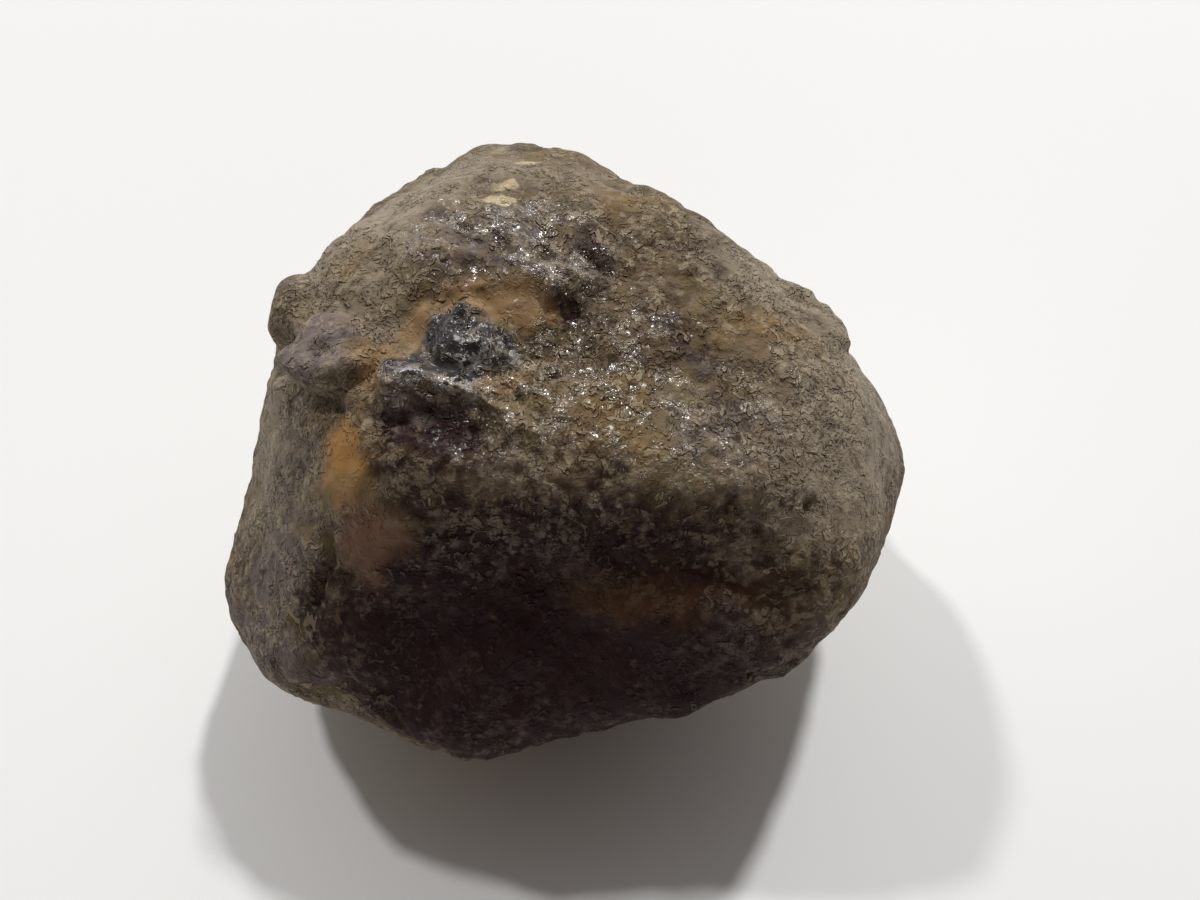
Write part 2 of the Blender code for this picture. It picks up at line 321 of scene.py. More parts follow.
SPOTS: Sequence[Spot] = (
    # Dark spots: the front away from the lamps, the thumb hollow, the foot of the cap's end and
    # its pocket are painted shade, in part dark crust.
    Spot(Patch.FRONT, 270, 5, 0, 35.5, 22.0, 1.0, 0.9),
    Spot(Patch.FRONT, 235, 50, -20, 7.0, 4.4, 0.95, 0.9),
    Spot(Patch.FRONT, 240, 41, -10, 10.0, 6.5, 0.45, 1.2),
    Spot(Patch.FRONT, 288, 82, -10, 5.0, 2.0, 0.6, 0.9),
    Spot(Patch.FRONT, 28, 80, -38, 3.4, 2.0, 0.6, 0.9),
    Spot(Patch.FRONT, 332, 56, -72, 15.0, 6.0, 0.34, 1.2),
    Spot(Patch.FRONT, 150, 79, 5, 11.0, 5.5, 0.22, 1.0),
    Spot(Patch.FRONT, 290, -20, 0, 30.0, 20.0, 0.9, 0.7),
    # Pale dusty crust; on the right face and the right bump it is in part painted highlight.
    Spot(Patch.DUST_AND_HIGHLIGHT, 350, 24, 60, 26.0, 17.0, 1.2, 1.2),
    Spot(Patch.DUST_AND_HIGHLIGHT, 14, 38, 30, 17.0, 12.0, 1.2, 1.2),
    Spot(Patch.DUST_AND_HIGHLIGHT, 150, 55, 60, 20.0, 12.0, 1.15, 1.3),
    Spot(Patch.DUST_AND_HIGHLIGHT, 95, 62, 0, 18.0, 7.0, 0.45, 1.2),
    Spot(Patch.GLOW, 220, 38, 60, 10.0, 7.0, 0.75, 1.4),
    Spot(Patch.GLOW, 234, 28, 70, 7.0, 4.5, 0.65, 1.4),
    Spot(Patch.GLOW, 350, 46, 0, 8.0, 6.5, 0.60, 1.4),
    Spot(Patch.GLOW, 344, 56, 0, 5.0, 4.0, 0.45, 1.4),
    Spot(Patch.GLOW, 296, 60, 20, 8.0, 5.0, 0.6, 1.4),
    Spot(Patch.GLOW, 292, 50, 0, 8.0, 4.0, 0.6, 1.4),
    Spot(Patch.GLOW, 58, 66, 0, 7.0, 5.0, 0.55, 1.4),
    Spot(Patch.GLOW, 172, 54, 40, 6.0, 4.0, 0.55, 1.4),
    Spot(Patch.GREY, 148, 79, 5, 13.0, 6.0, 0.42, 0.6),
    Spot(Patch.GREY, 20, 84, -20, 6.0, 4.5, 0.5, 0.7),
    Spot(Patch.GREY, 194, 44, -15, 7.0, 4.8, 0.9, 0.8),
    Spot(Patch.GREY, 224, 54, 60, 5.0, 4.0, 0.38, 0.8),
    Spot(Patch.GREY, 328, 54, 20, 4.5, 3.5, 0.3, 1.0),
    Spot(Patch.GREY, 317, 44, 20, 8.0, 5.0, 0.35, 1.0),
    Spot(Patch.GREY, 214, 7, 60, 9.0, 6.0, 0.9, 1.0),
    Spot(Patch.GREY, 206, 24, 60, 13.0, 9.0, 0.45, 1.2),
    # Pale dusty crust on the left face, in part painted light where the lamps light that face.
    Spot(Patch.DUST_AND_HIGHLIGHT, 196, 20, 60, 20.0, 13.0, 0.9, 1.3),
    Spot(Patch.GREY, 307, 7, 0, 9.0, 6.0, 0.32, 1.0),
    Spot(Patch.GREY, 268, -16, 0, 28.0, 7.0, 0.2, 1.0),
    Spot(Patch.GREY, 215, -6, 20, 14.0, 7.0, 0.6, 1.0),
    Spot(Patch.VALLEY, 217, 77, 8, 6.5, 3.0, 1.0, 0.8),
    Spot(Patch.VALLEY, 206, 62, 50, 5.0, 3.0, 0.8, 0.9),
    Spot(Patch.VALLEY, 211, 52, 50, 4.5, 3.0, 0.9, 0.9),
    Spot(Patch.VALLEY, 251, 62, 20, 4.0, 2.2, 0.9, 1.0),
    Spot(Patch.RIDGE, 225, 65, -60, 5.0, 3.6, 1.0, 0.5),
    Spot(Patch.RIDGE, 237, 68, -60, 3.8, 2.8, 1.0, 0.6),
    Spot(Patch.RIDGE, 217, 58, 60, 3.4, 2.4, 0.8, 0.8),
    Spot(Patch.RIDGE, 270.8, 69.5, 0, 1.0, 1.0, 0.5, 0.8),
    Spot(Patch.AMBER, 218, 36, 70, 5.2, 4.6, 1.0, 0.9),
    Spot(Patch.AMBER, 224, 30, 80, 4.2, 3.6, 0.42, 1.1),
    Spot(Patch.BROWN, 230, 23, 75, 8.0, 5.5, 1.0, 1.2),
    Spot(Patch.RUST, 289, 17, 0, 12.0, 6.0, 0.8, 1.6),
    Spot(Patch.RUST, 310, 14, 0, 6.0, 5.0, 0.6, 1.2),
    Spot(Patch.CREAM, 103, 59, 5, 3.0, 1.3, 1.0, 0.8),
    Spot(Patch.CREAM, 116, 68, 20, 2.4, 1.2, 0.9, 0.8),
    Spot(Patch.CREAM, 125, 71, 10, 2.6, 1.6, 1.0, 0.8),
    Spot(Patch.SMOOTH, 220, 33, 70, 6.5, 4.6, 1.0, 0.8),
    Spot(Patch.SMOOTH, 232, 24, 75, 7.0, 5.0, 0.8, 1.0),
    Spot(Patch.SMOOTH, 217, 77, 8, 6.5, 3.0, 0.7, 0.8),
    Spot(Patch.SMOOTH, 206, 62, 50, 6.0, 3.6, 0.8, 0.9),
    Spot(Patch.SMOOTH, 220, 65, -60, 3.4, 2.2, 1.0, 0.7),
    Spot(Patch.SMOOTH, 235, 51, -20, 5.5, 3.4, 0.6, 0.9),
    Spot(Patch.SMOOTH, 150, 58, 60, 20.0, 10.0, 0.4, 1.0),
    Spot(Patch.SMOOTH, 85, 62, 0, 22.0, 8.0, 0.35, 1.0),
    Spot(Patch.SMOOTH, 352, 22, 60, 14.0, 6.0, 0.45, 1.0),
    Spot(Patch.SMOOTH, 195, 43, -12, 6.0, 4.5, 0.4, 0.8),
    Spot(Patch.SMOOTH, 270, 4, 0, 28.0, 14.0, 0.7, 0.8),
    Spot(Patch.CRAG, 160, 80, 5, 11.0, 6.5, 0.8, 0.6),
    Spot(Patch.CRAG, 10, 85, -20, 6.0, 4.5, 1.0, 0.7),
    Spot(Patch.CRAG, 239, 67, -60, 4.0, 3.2, 0.9, 0.6),
    Spot(Patch.CRAG, 236, 58, -15, 7.0, 2.2, 0.9, 0.7),
    Spot(Patch.CRAG, 220, 54, 60, 4.0, 3.0, 0.55, 0.8),
    Spot(Patch.CRAG, 196, 44, -12, 5.5, 4.0, 0.45, 0.8),
    Spot(Patch.CRAG, 265, 55, 0, 10.0, 6.0, 0.4, 1.0),
    Spot(Patch.WET, 278, 69, 0, 19.0, 12.5, 1.0, 0.8),
    Spot(Patch.WET, 148, 80, 5, 13.0, 7.5, 1.0, 0.6),
    Spot(Patch.WET, 225, 65, -60, 5.0, 3.6, 1.0, 0.5),
    Spot(Patch.WET, 320, 45, 20, 12.0, 9.0, 0.5, 1.0),
    Spot(Patch.WET, 256, 28, 20, 12.0, 6.0, 0.22, 1.0),
    Spot(Patch.WET, 238, 59, -15, 7.0, 2.2, 0.9, 0.8),
)


def direction(azimuth: float, elevation: float) -> np.ndarray:
    """Unit vector towards an azimuth and elevation.

    Args:
        azimuth: degrees from +X towards +Y.
        elevation: degrees from level towards +Z.

    Returns:
        The vector, three numbers.
    """
    turn = math.radians(azimuth)
    rise = math.radians(elevation)
    level = math.cos(rise)
    return np.array([math.cos(turn) * level, math.sin(turn) * level, math.sin(rise)])


@dataclass(frozen=True)
class Ripple:
    """Seeded uneven value in space: a sum of plane waves of random heading and phase."""

    count: int = 24
    spread: tuple[float, float] = (0.8, 1.3)
    scale: float = 1.6

    def at(self, points: np.ndarray, wave: Wave) -> np.ndarray:
        """Value of one wave layer, mostly between -1 and 1.

        The value is the sum of sin(k . p + phase) over the waves, divided by its usual size.

        Args:
            points: places in mm, one row each.
            wave: the layer's wavelength and seed.

        Returns:
            One value for each point.
        """
        rng = np.random.default_rng(wave.seed)
        headings = rng.normal(size=(self.count, 3))
        headings /= np.linalg.norm(headings, axis=1, keepdims=True)
        stretch = rng.uniform(*self.spread, (self.count, 1))
        phases = rng.uniform(0.0, 2.0 * math.pi, self.count)
        turns = 2.0 * math.pi * headings / (wave.wavelength * stretch)
        total = np.sin(points @ turns.T + phases).sum(axis=1)
        return total / (math.sqrt(self.count / 2.0) * self.scale)

    def sum(self, points: np.ndarray, waves: Sequence[Wave]) -> np.ndarray:
        """Sum of several layers, each at its own height.

        Args:
            points: places in mm, one row each.
            waves: the layers.

        Returns:
            One height in mm for each point.
        """
        return sum(wave.height * self.at(points, wave) for wave in waves)


@dataclass(frozen=True)
class CellField:
    """Random points in space, one in each cell of a lattice, and the distance to the nearest.

    The other fields are the whole numbers that scramble a cell's place into a random number.
    """

    spacing: float
    seed: int
    axis_factors: tuple[int, int, int] = (73856093, 19349663, 83492791)
    seed_factor: int = 2654435
    channel_factor: int = 97531
    mixing_factor: int = 0x45D9F3B
    largest: int = 0xFFFFFFFF

    def hashed(self, cells: np.ndarray, channel: int) -> np.ndarray:
        """Random share from 0 to 1 for each cell, by mixing the cell's three whole numbers.

        Args:
            cells: whole numbers of the cells, one row each.
            channel: which of a cell's random numbers is wanted.

        Returns:
            One number for each cell.
        """
        first, second, third = (cells * self.axis_factors).T
        start = self.seed * self.seed_factor + channel * self.channel_factor
        mixed = (first ^ second ^ third ^ start) & self.largest
        for _ in range(2):
            mixed = ((mixed >> 16) ^ mixed) * self.mixing_factor & self.largest
        mixed = (mixed >> 16) ^ mixed
        return mixed / self.largest

    def nearest(self, points: np.ndarray) -> tuple[np.ndarray, np.ndarray]:
        """Distance to the nearest random point, looked for in the 27 cells around each place.

        Args:
            points: places in mm, one row each.

        Returns:
            The distances in mm, and the random share of each nearest point's cell.
        """
        home = np.floor(points / self.spacing).astype(np.int64)
        best = np.full(len(points), np.inf)
        share = np.zeros(len(points))
        steps = np.array(np.meshgrid(*[(-1, 0, 1)] * 3)).reshape(3, -1).T
        for step in steps:
            cells = home + step
            jitter = np.stack([self.hashed(cells, axis) for axis in range(3)], axis=1)
            gap = np.linalg.norm(points - (cells + jitter) * self.spacing, axis=1)
            closer = gap < best
            best = np.where(closer, gap, best)
            share = np.where(closer, self.hashed(cells, 3), share)
        return best, share


@dataclass(frozen=True)
class BallGrid:
    """Directions over a whole ball: a cube's six square grids, blown up to the ball.

    crowding points to the side where the grid is finer. Corners that agree when they are
    rounded to one part in joining are one vertex.
    """

    steps: int
    crowding: tuple[float, float, float] = (-0.03, -0.11, 0.22)
    joining: float = 1e6

    def build(self) -> tuple[np.ndarray, np.ndarray]:
        """Lay the six grids, join them along the cube's edges and point the faces outwards.

        Grid lines stand at tan(a) for even steps of the angle a from -45 to 45 degrees, so
        the quads are close to one size. Then a small vector is added to each direction and
        the sum is made a unit vector, which crowds the grid on the side it points to.

        Returns:
            Unit directions, one row for each vertex, and the four vertices of each quad.
        """
        line = np.tan(np.linspace(-math.pi / 4.0, math.pi / 4.0, self.steps + 1))
        across, up = np.meshgrid(line, line, indexing="ij")
        one = np.ones_like(across)
        sides = [
            np.stack([one, across, up], axis=-1),
            np.stack([-one, up, across], axis=-1),
            np.stack([up, one, across], axis=-1),
            np.stack([across, -one, up], axis=-1),
            np.stack([across, up, one], axis=-1),
            np.stack([up, across, -one], axis=-1),
        ]
        corners = np.concatenate([side.reshape(-1, 3) for side in sides])
        number = np.arange(one.size).reshape(one.shape)
        loop = (number[:-1, :-1], number[1:, :-1], number[1:, 1:], number[:-1, 1:])
        quads = np.stack(loop, axis=-1).reshape(-1, 4)
        quads = np.concatenate([quads + side * one.size for side in range(len(sides))])
        key = np.round(corners * self.joining).astype(np.int64)
        _, first, merged = np.unique(key, axis=0, return_index=True, return_inverse=True)
        quads = merged.reshape(-1)[quads]
        points = corners[first]
        points /= np.linalg.norm(points, axis=1, keepdims=True)
        points += self.crowding
        points /= np.linalg.norm(points, axis=1, keepdims=True)
        ring = points[quads]
        normals = np.cross(ring[:, 1] - ring[:, 0], ring[:, 2] - ring[:, 0])
        inward = (normals * ring.mean(axis=1)).sum(axis=1) < 0.0
        quads[inward] = quads[inward][:, ::-1]
        return points, quads


@dataclass(frozen=True)
class Ground:
    """The worn faces that lumps, hollows and patches lie on, one row for each vertex.

    directions are unit vectors, radius is the faces' distance from the centre and points
    are the places there, in mm. along and across say how far outlines wander, in mm.
    """

    directions: np.ndarray
    radius: np.ndarray
    points: np.ndarray
    along: np.ndarray
    across: np.ndarray


@dataclass(frozen=True)
class StoneForm:
    """The stone's surface: broad faces, lumps and hollows, swells, grains and pits, in mm.

    A place has no effect past the angle whose cosine is horizon. Its outline wanders in full
    where it is at least full_drift_half_width wide. Crests wander by crest_drift of that, and
    each end fades out over the share crest_taper of the length. A grain is raised in full
    from the height full_grain. The fine relief is coarse_mean times as high on average, more
    or less by up to coarse_swing, within coarse_range.
    """

    faces: Sequence[Face] = FACES
    lumps: Sequence[Relief] = LUMPS
    hollows: Sequence[Relief] = HOLLOWS
    crests: Sequence[Crest] = CRESTS
    edge_sharpness: float = 14.0
    rest_level: float = -32.0
    horizon: float = 0.5
    swells: Sequence[Wave] = (Wave(24.0, 0.60, 3), Wave(11.0, 0.34, 5), Wave(6.0, 0.12, 8))
    worn_lumps: Sequence[Wave] = (Wave(9.0, 0.25, 31), Wave(4.0, 0.14, 32))
    worn_lump_mean: float = 0.4
    crags: Sequence[Wave] = (Wave(4.4, 0.75, 91), Wave(2.3, 0.45, 92))
    crag_mean: float = 0.45
    drift_along: Sequence[Wave] = (Wave(9.0, 1.0, 21), Wave(3.5, 0.4, 23))
    drift_across: Sequence[Wave] = (Wave(9.0, 1.0, 22), Wave(3.5, 0.4, 24))
    full_drift_half_width: float = 3.0
    crest_drift: float = 0.5
    crest_taper: float = 0.2
    crest_taper_power: float = 0.7
    ripple: Ripple = Ripple()
    fine_ripple: Ripple = Ripple(count=60)
    dimples: Sequence[Wave] = (Wave(3.4, 0.10, 41), Wave(1.8, 0.08, 42))
    grain_stretch: tuple[float, float, float] = (1.0, 0.85, 0.75)
    grains: Sequence[Grains] = (
        Grains(1.9, 0.75, 0.20, 0.36, 61),
        Grains(1.3, 0.55, 0.16, 0.42, 62),
        Grains(1.0, 0.45, 0.12, 0.45, 63),
        Grains(3.6, 0.80, -0.24, 0.30, 51),
        Grains(2.2, 0.55, -0.16, 0.35, 52),
    )
    full_grain: float = 0.2
    coarseness: Wave = Wave(13.0, 1.0, 81)
    coarse_mean: float = 0.75
    coarse_swing: float = 0.6
    coarse_range: Levels = (0.25, 1.2)

    def worn_radius(self, directions: np.ndarray) -> np.ndarray:
        """Distance from the centre to the rounded meeting of the broad faces.

        A face with normal n and distance d is met at d / (u . n) along u. The faces join as
        the sum of ((u . n) / d) to the power p, taken to the power -1/p, with p the edge
        sharpness, and the faces that look the other way left out.

        Args:
            directions: unit vectors, one row each.

        Returns:
            One radius in mm for each direction.
        """
        normals = np.array([direction(face.azimuth, face.elevation) for face in self.faces])
        distances = np.array([face.distance for face in self.faces])
        reach = np.clip(directions @ normals.T, 0.0, None) / distances
        sharp = self.edge_sharpness
        return (reach**sharp).sum(axis=1) ** (-1.0 / sharp)

    def ground(self, directions: np.ndarray) -> Ground:
        """Lay out the worn faces along unit directions, and how far outlines wander there.

        Args:
            directions: unit vectors, one row for each vertex.

        Returns:
            The ground for the lumps, hollows and patches.
        """
        radius = self.worn_radius(directions)
        points = directions * radius[:, None]
        along = self.ripple.sum(points, self.drift_along)
        across = self.ripple.sum(points, self.drift_across)
        return Ground(directions, radius, points, along, across)

    def ellipse(self, ground: Ground, place: Relief | Spot) -> tuple[np.ndarray, np.ndarray]:
        """How far out each point is in the ellipse of a lump, hollow or patch.

        Args:
            ground: the worn faces under each vertex.
            place: the lump, hollow or patch.

        Returns:
            The distance as a share of the ellipse, 0 in its middle and 1 at its edge and
            past it, and the signed share of its half width.
        """
        middle = direction(place.azimuth, place.elevation)
        middle_point = middle * self.worn_radius(middle[None])[0]
        east = np.array([1.0, 0.0, 0.0]) - middle[0] * middle
        east /= np.linalg.norm(east)
        north = np.cross(middle, east)
        turn = math.radians(place.turn)
        long_way = math.cos(turn) * east + math.sin(turn) * north
        cross_way = math.cos(turn) * north - math.sin(turn) * east
        share = min(1.0, place.half_width / self.full_drift_half_width)
        offset = ground.points - middle_point
        along = (offset @ long_way + share * ground.along) / place.half_length
        across = (offset @ cross_way + share * ground.across) / place.half_width
        out = np.clip(np.hypot(along, across), 0.0, 1.0)
        out[ground.directions @ middle <= self.horizon] = 1.0
        return out, across

    def highest(self, ground: Ground, reliefs: Sequence[Relief]) -> np.ndarray:
        """Largest height that any of the lumps, or depth that any of the hollows, has.

        Each has height * (1 - out^2)^edge, where out is the distance in its ellipse, and a
        lean takes a share away that grows evenly from one side to the other.

        Args:
            ground: the worn faces under each vertex.
            reliefs: the lumps or the hollows.

        Returns:
            One height in mm for each point.
        """
        total = np.zeros(len(ground.points))
        for relief in reliefs:
            out, across = self.ellipse(ground, relief)
            far_side = np.clip((1.0 + across) / 2.0, 0.0, 1.0)
            profile = (1.0 - out**2) ** relief.edge
            height = relief.height * profile * (1.0 - relief.lean * far_side)
            total = np.maximum(total, height)
        return total

    def crest_height(self, ground: Ground, crest: Crest) -> np.ndarray:
        """Height of a crest, or of a crease below 0.

        At the distance d from the line, out of the reach on that side, the height is
        (1 - d / reach)^edge of the line's own, which fades out towards both ends.

        Args:
            ground: the worn faces under each vertex.
            crest: the crest.

        Returns:
            One height in mm for each point.
        """
        ways = np.array([direction(*place) for place in crest.route])
        route = ways * self.worn_radius(ways)[:, None]
        lengths = np.linalg.norm(np.diff(route, axis=0), axis=1)
        passed = np.concatenate([[0.0], np.cumsum(lengths)]) / lengths.sum()
        middle = ways.mean(axis=0)
        middle /= np.linalg.norm(middle)
        wander = min(1.0, min(crest.left, crest.right) / self.full_drift_half_width)
        moved = ground.points + wander * ground.along[:, None] * self.crest_drift
        nearest = np.full(len(moved), np.inf)
        share = np.zeros(len(moved))
        side = np.ones(len(moved))
        for start, end, before, after in zip(route[:-1], route[1:], passed[:-1], passed[1:]):
            step = end - start
            along = np.clip((moved - start) @ step / (step @ step), 0.0, 1.0)
            gap = np.linalg.norm(moved - start - along[:, None] * step, axis=1)
            closer = gap < nearest
            nearest = np.where(closer, gap, nearest)
            share = np.where(closer, before + along * (after - before), share)
            side = np.where(closer, (moved - start) @ np.cross(middle, step), side)
        reach = np.where(side > 0.0, crest.left, crest.right)
        profile = np.clip(1.0 - nearest / reach, 0.0, 1.0) ** crest.edge
        ends = np.clip(np.minimum(share, 1.0 - share) / self.crest_taper, 0.0, 1.0)
        ends = ends**self.crest_taper_power
        size = crest.height * (1.0 + (crest.end - 1.0) * share)
        return np.where(ground.directions @ middle > self.horizon, size * profile * ends, 0.0)

    def fine_relief(self, points: np.ndarray, smooth: np.ndarray) -> tuple[np.ndarray, np.ndarray]:
        """Height of the grains, dimples and pits.

        A grain or pit has height * (1 - (d / radius)^2)^2 at the distance d from its middle,
        in a space that is squeezed along y and z, so that they are longer that way. The
        relief is coarser in some places than in others.

        Args:
            points: places in mm, one row each.
            smooth: share from 0 to 1 by which the relief is smoothed away.

        Returns:
            One height in mm for each point, and how far it is raised, from 0 to 1.
        """
        coarse = self.coarse_mean + self.coarse_swing * self.ripple.at(points, self.coarseness)
        coarse = np.clip(coarse, *self.coarse_range) * (1.0 - smooth)
        raised = np.zeros(len(points))
        total = self.fine_ripple.sum(points, self.dimples)
        squeezed = points * self.grain_stretch
        for grains in self.grains:
            gap, share = CellField(grains.spacing, grains.seed).nearest(squeezed)
            bowl = np.clip(1.0 - (gap / grains.radius) ** 2, 0.0, 1.0) ** 2
            height = np.where(share < grains.kept, grains.height * bowl, 0.0)
            raised = np.maximum(raised, height)
            total += np.minimum(height, 0.0)
        return (total + raised) * coarse, np.clip(raised / self.full_grain, 0.0, 1.0) * coarse

    def patches(self, ground: Ground, spots: Sequence[Spot]) -> dict[Patch, np.ndarray]:
        """Share of each kind of crust: the largest share * (1 - out^2)^edge of its spots.

        Args:
            ground: the worn faces under each vertex.
            spots: the places of the patches.

        Returns:
            For each kind, one share for each vertex, 0 away from its spots.
        """
        shares = {patch: np.zeros(len(ground.points)) for patch in Patch}
        for spot in spots:
            out, _ = self.ellipse(ground, spot)
            share = spot.share * (1.0 - out**2) ** spot.edge
            shares[spot.patch] = np.maximum(shares[spot.patch], share)
        return shares

    def surface(
        self, ground: Ground, smooth: np.ndarray, craggy: np.ndarray
    ) -> tuple[np.ndarray, np.ndarray, np.ndarray]:
        """The stone's surface on its worn faces.

        The radius is the worn faces' own, plus the highest lump, less the deepest hollow,
        plus swells, worn lumps, crags, crests and the fine relief. A crag layer adds
        height * (mean - |w|) with the wave's value w, a jagged crest wherever w passes 0.

        Args:
            ground: the worn faces under each vertex.
            smooth: share from 0 to 1 by which the fine relief is smoothed away.
            craggy: share from 0 to 1 of the crags.

        Returns:
            Points in mm from the centre, the height of the fine relief in mm, and how far
            each point is raised on a grain, from 0 to 1.
        """
        raised = self.highest(ground, self.lumps)
        sunk = self.highest(ground, self.hollows)
        uneven = self.ripple.sum(ground.points, self.swells)
        for wave in self.worn_lumps:
            swell = np.abs(self.ripple.at(ground.points, wave)) - self.worn_lump_mean
            uneven += wave.height * swell
        for wave in self.crags:
            crag = self.crag_mean - np.abs(self.ripple.at(ground.points, wave))
            uneven += wave.height * crag * craggy
        lines = [self.crest_height(ground, crest) for crest in self.crests]
        radius = ground.radius + raised - sunk + uneven + sum(lines)
        fine, grain = self.fine_relief(ground.directions * radius[:, None], smooth)
        return ground.directions * (radius + fine)[:, None], fine, grain

    def placed(self, points: np.ndarray, low: np.ndarray, high: np.ndarray) -> np.ndarray:
        """Fit the surface to a box, with the rest level on its floor and nothing below it.

        Args:
            points: the surface in mm from the centre.
            low: the box's lowest corner in metres.
            high: the box's highest corner in metres.

        Returns:
            The surface in metres, in the box's own frame.
        """
        least = points.min(axis=0)
        most = points.max(axis=0)
        least[2] = self.rest_level
        fitted = low + (points - least) * (high - low) / (most - least)
        fitted[:, 2] = np.maximum(fitted[:, 2], low[2])
        return fitted


@dataclass(frozen=True)
class Blotches:
    """Soft random blotches: size in mm, number of finer layers, and two levels of their noise.

    Their share is 0 at the first level and 1 at the second. swirl draws them out into curls.
    """

    size: float
    detail: float
    levels: Levels = (0.0, 1.0)
    swirl: float = 0.0


class NodeBench:
    """Node tree of a material or of the room's light, with short ways to add and join nodes."""

    def __init__(self, owner: bpy.types.Material | bpy.types.World) -> None:
        """Take the node tree of a material or world and clear it.

        Args:
            owner: the material or world.
        """
        owner.use_nodes = True
        self.tree = owner.node_tree
        self.tree.nodes.clear()

    @cached_property
    def place(self) -> Socket:
        """The place on the piece: its Object coordinate."""
        return self.add("ShaderNodeTexCoord").outputs["Object"]

    def add(self, kind: str, inputs: dict | None = None, **settings: object) -> bpy.types.Node:
        """Add a node.

        Args:
            kind: the node's type name.
            inputs: for each input by name or number, a value or the socket that feeds it.
            settings: the node's own options.

        Returns:
            The node.
        """
        node = self.tree.nodes.new(kind)
        for option, value in settings.items():
            setattr(node, option, value)
        for key, value in (inputs or {}).items():
            if isinstance(value, Socket):
                self.tree.links.new(value, node.inputs[key])
            else:
                node.inputs[key].default_value = value
        return node

    def share(self, name: str) -> Socket:
        """The value of a mesh attribute."""
        return self.add("ShaderNodeAttribute", attribute_name=name).outputs["Fac"]

    def patch(self, patch: Patch) -> Socket:
        """The share of a kind of crust."""
        return self.share(patch.value)

    def math(self, operation: str, *values: object, clamp: bool = True) -> Socket:
        """Result of a Math node.

        Args:
            operation: the node's operation.
            values: its values or sockets, in order.
            clamp: whether the result is kept between 0 and 1.

        Returns:
            The node's output.
        """
        inputs = dict(enumerate(values))
        return self.add("ShaderNodeMath", inputs, operation=operation, use_clamp=clamp).outputs[0]

    def vector(self, operation: str, first: object, second: object) -> Socket:
        """Result of a Vector Math node.

        Args:
            operation: the node's operation.
            first: the first vector or socket.
            second: the second vector or socket.

        Returns:
            The resulting vector, or the number that a dot product gives.
        """
        node = self.add("ShaderNodeVectorMath", {0: first, 1: second}, operation=operation)
        return node.outputs["Value" if operation == "DOT_PRODUCT" else "Vector"]

    def mix(self, share: object, first: object, second: object) -> Socket:
        """Colour between two colours.

        Args:
            share: 0 for the first colour and 1 for the second, as a value or socket.
            first: the first colour or socket.
            second: the second colour or socket.

        Returns:
            The mixed colour.
        """
        inputs = {0: share, 6: first, 7: second}
        return self.add("ShaderNodeMix", inputs, data_type="RGBA").outputs[2]

    def noise(self, blotches: Blotches) -> Socket:
        """Soft random value.

        Args:
            blotches: the size, detail and swirl of the noise.

        Returns:
            The value, around 0.5.
        """
        inputs = {
            "Vector": self.place,
            "Scale": 1.0 / (blotches.size * MM),
            "Detail": blotches.detail,
            "Distortion": blotches.swirl,
        }
        return self.add("ShaderNodeTexNoise", inputs).outputs[0]

    def between(self, value: Socket, levels: Levels) -> Socket:
        """Where a value lies between two levels, with a soft start and end.

        Args:
            value: the value's socket.
            levels: the two levels.

        Returns:
            The share, 0 at the first level and 1 at the second.
        """
        inputs = {"Value": value, "From Min": levels[0], "From Max": levels[1]}
        return self.add("ShaderNodeMapRange", inputs, interpolation_type="SMOOTHSTEP").outputs[0]

    def blotched(self, blotches: Blotches) -> Socket:
        """Share of the blotches at each place, from 0 to 1."""
        return self.between(self.noise(blotches), blotches.levels)


@dataclass(frozen=True)
class Chips:
    """Layer of flat chips, each tilted its own way: their size in mm and how far they tilt.

    kept is the level that a chip's random number has to pass, so more means fewer chips.
    """

    size: float
    tilt: float
    kept: float


@dataclass(frozen=True)
class Paint:
    """Colour of one kind of crust, and the level from which it covers the crust in full."""

    patch: Patch
    colour: Colour
    full: float


